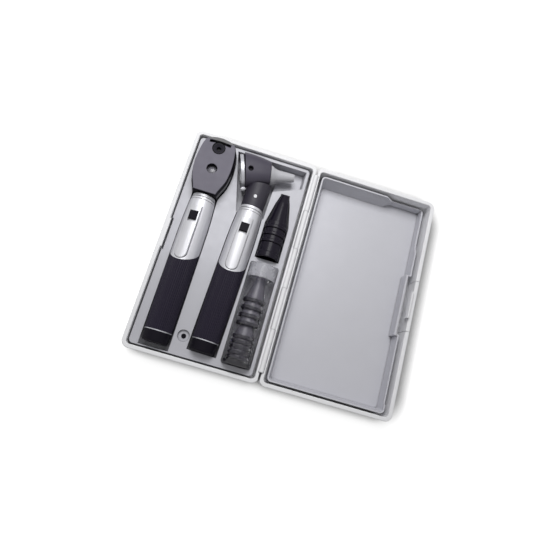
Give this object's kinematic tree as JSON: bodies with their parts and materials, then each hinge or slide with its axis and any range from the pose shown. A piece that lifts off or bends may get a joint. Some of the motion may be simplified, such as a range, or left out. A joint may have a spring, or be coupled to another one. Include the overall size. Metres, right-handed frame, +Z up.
{
  "type": "otoscope and ophthalmoscope case",
  "caption": "Hinged carry case lying open, with a moulded tray holding an otoscope, an ophthalmoscope, reusable specula and a tube of disposable specula.",
  "frame": {"origin": "on the surface the open case lies on, under the middle of its length on the hinge axis", "axes": "+X from the hinge across the lid, -X across the base with the instruments, +Y along the hinge towards the instruments' heads, +Z up"},
  "size_m": [0.1998, 0.176, 0.0287],
  "materials": {
    "case_shell": "satin off-white",
    "case_lining": "satin silver-grey",
    "steel_pin": "bright",
    "satin_metal": "satin, with a fine grain",
    "bright_metal": "polished",
    "black_grip": "satin black, finely fluted",
    "black_gloss": "gloss",
    "black_matt": "matt",
    "face_grey": "satin grey",
    "brow_rubber": "matt",
    "head_grey": "satin dark grey",
    "clear_glass": "clear",
    "clear_plastic": "clear plastic, slightly smoked",
    "cap_plastic": "translucent grey",
    "speculum_grey": "satin light grey",
    "mirror_face": "polished",
    "lamp_glass": "clear",
    "battery_sleeve": "plain printed film, unmarked",
    "spring_wire": "bright"
  },
  "bodies": {
    "case": {"base_shell": "case_shell", "base_tray": "case_lining", "tray_screw": "black_matt", "hinge_pin": "steel_pin"},
    "lid": {"lid_shell": "case_shell", "lid_liner": "case_lining", "latch_pin": "steel_pin"},
    "latch": {"front_latch": "case_shell"},
    "ophthalmoscope": {"oph_front_cover": "black_matt", "oph_face_plate": "face_grey", "oph_brow_rest": "brow_rubber", "oph_aperture_ring": "black_matt", "oph_sight_glass": "clear_glass", "oph_dial_lens": "clear_glass", "oph_rear_housing": "black_matt", "oph_wheel_pin": "steel_pin", "oph_mirror": "mirror_face", "oph_lamp": "lamp_glass", "oph_collar": "satin_metal", "oph_sleeve": "satin_metal", "oph_clip": "bright_metal", "oph_grip": "black_grip", "oph_trim_ring": "bright_metal", "oph_batteries": "battery_sleeve"},
    "oph_switch": {"oph_switch": "black_matt"},
    "oph_lens_wheel": {"oph_lens_wheel": "black_matt", "oph_wheel_lenses": "clear_glass"},
    "oph_aperture_dial": {"oph_aperture_dial": "black_matt"},
    "oph_end_cap": {"oph_end_cap": "black_matt", "oph_contact_spring": "spring_wire"},
    "otoscope": {"oto_head_housing": "head_grey", "oto_neck": "black_gloss", "oto_neck_screw": "bright_metal", "oto_window_pivot": "steel_pin", "oto_port": "black_matt", "oto_nose_cone": "black_matt", "oto_lamp": "lamp_glass", "oto_collar": "satin_metal", "oto_sleeve": "satin_metal", "oto_clip": "bright_metal", "oto_grip": "black_grip", "oto_trim_ring": "bright_metal", "oto_batteries": "battery_sleeve"},
    "oto_switch": {"oto_switch": "black_matt"},
    "oto_window": {"oto_window_frame": "bright_metal", "oto_window_lens": "clear_glass"},
    "oto_speculum": {"oto_speculum": "speculum_grey"},
    "oto_end_cap": {"oto_end_cap": "black_matt", "oto_contact_spring": "spring_wire"},
    "reusable_specula": {"reusable_speculum_1": "black_gloss", "reusable_speculum_2": "black_gloss", "reusable_speculum_3": "black_gloss", "reusable_speculum_4": "black_gloss"},
    "dispenser": {"dispenser_tube": "clear_plastic", "dispenser_foot": "clear_plastic", "disposable_specula_small": "black_matt", "disposable_specula_large": "black_matt"},
    "dispenser_cap": {"dispenser_cap": "cap_plastic"}
  },
  "joints": [
    {"name": "lid_hinge", "type": "hinge", "parent": "case", "child": "lid", "pos_m": [0, 0, 0.019], "axis": [0, 1, 0], "range_deg": [-180, 0]},
    {"name": "latch_press", "type": "hinge", "parent": "lid", "child": "latch", "pos_m": [0.0984, 0, 0.0095], "axis": [0, -1, 0], "range_deg": [0, 4.5], "stiffness_Nm_per_rad": 0.05},
    {"name": "ophthalmoscope_lift", "type": "slide", "parent": "case", "child": "ophthalmoscope", "axis": [0, 0, 1], "range_m": [0, 0.045]},
    {"name": "oph_switch_slide", "type": "slide", "parent": "ophthalmoscope", "child": "oph_switch", "axis": [0, -1, 0], "range_m": [0, 0.002]},
    {"name": "oph_lens_wheel_turn", "type": "hinge", "parent": "ophthalmoscope", "child": "oph_lens_wheel", "pos_m": [-0.0782, 0.0609, 0.016], "axis": [0, 0, 1], "continuous": true},
    {"name": "oph_aperture_turn", "type": "hinge", "parent": "ophthalmoscope", "child": "oph_aperture_dial", "pos_m": [-0.0782, 0.0609, 0.016], "axis": [0, 0, 1], "continuous": true},
    {"name": "oph_cap_turn", "type": "hinge", "parent": "ophthalmoscope", "child": "oph_end_cap", "pos_m": [-0.0782, -0.0797, 0.016], "axis": [0, 1, 0], "continuous": true},
    {"name": "otoscope_lift", "type": "slide", "parent": "case", "child": "otoscope", "axis": [0, 0, 1], "range_m": [0, 0.045]},
    {"name": "oto_switch_slide", "type": "slide", "parent": "otoscope", "child": "oto_switch", "axis": [-0.0297, -0.9996, 0], "range_m": [0, 0.002]},
    {"name": "oto_window_swing", "type": "hinge", "parent": "otoscope", "child": "oto_window", "pos_m": [-0.05228, 0.05173, 0.0165], "axis": [0.9455, 0.3256, 0], "range_deg": [0, 60]},
    {"name": "oto_speculum_twist", "type": "hinge", "parent": "otoscope", "child": "oto_speculum", "pos_m": [-0.03514, 0.06949, 0.0165], "axis": [0.9816, 0.1908, 0], "range_deg": [0, 90]},
    {"name": "oto_cap_turn", "type": "hinge", "parent": "otoscope", "child": "oto_end_cap", "pos_m": [-0.0445, -0.0773, 0.016], "axis": [0.0297, 0.9996, 0], "continuous": true},
    {"name": "reusable_specula_lift", "type": "slide", "parent": "case", "child": "reusable_specula", "axis": [0, 0, 1], "range_m": [0, 0.045]},
    {"name": "dispenser_lift", "type": "slide", "parent": "case", "child": "dispenser", "axis": [0, 0, 1], "range_m": [0, 0.045]},
    {"name": "dispenser_cap_turn", "type": "hinge", "parent": "dispenser", "child": "dispenser_cap", "pos_m": [-0.0188, -0.01, 0.016], "axis": [0, 1, 0], "continuous": true}
  ]
}
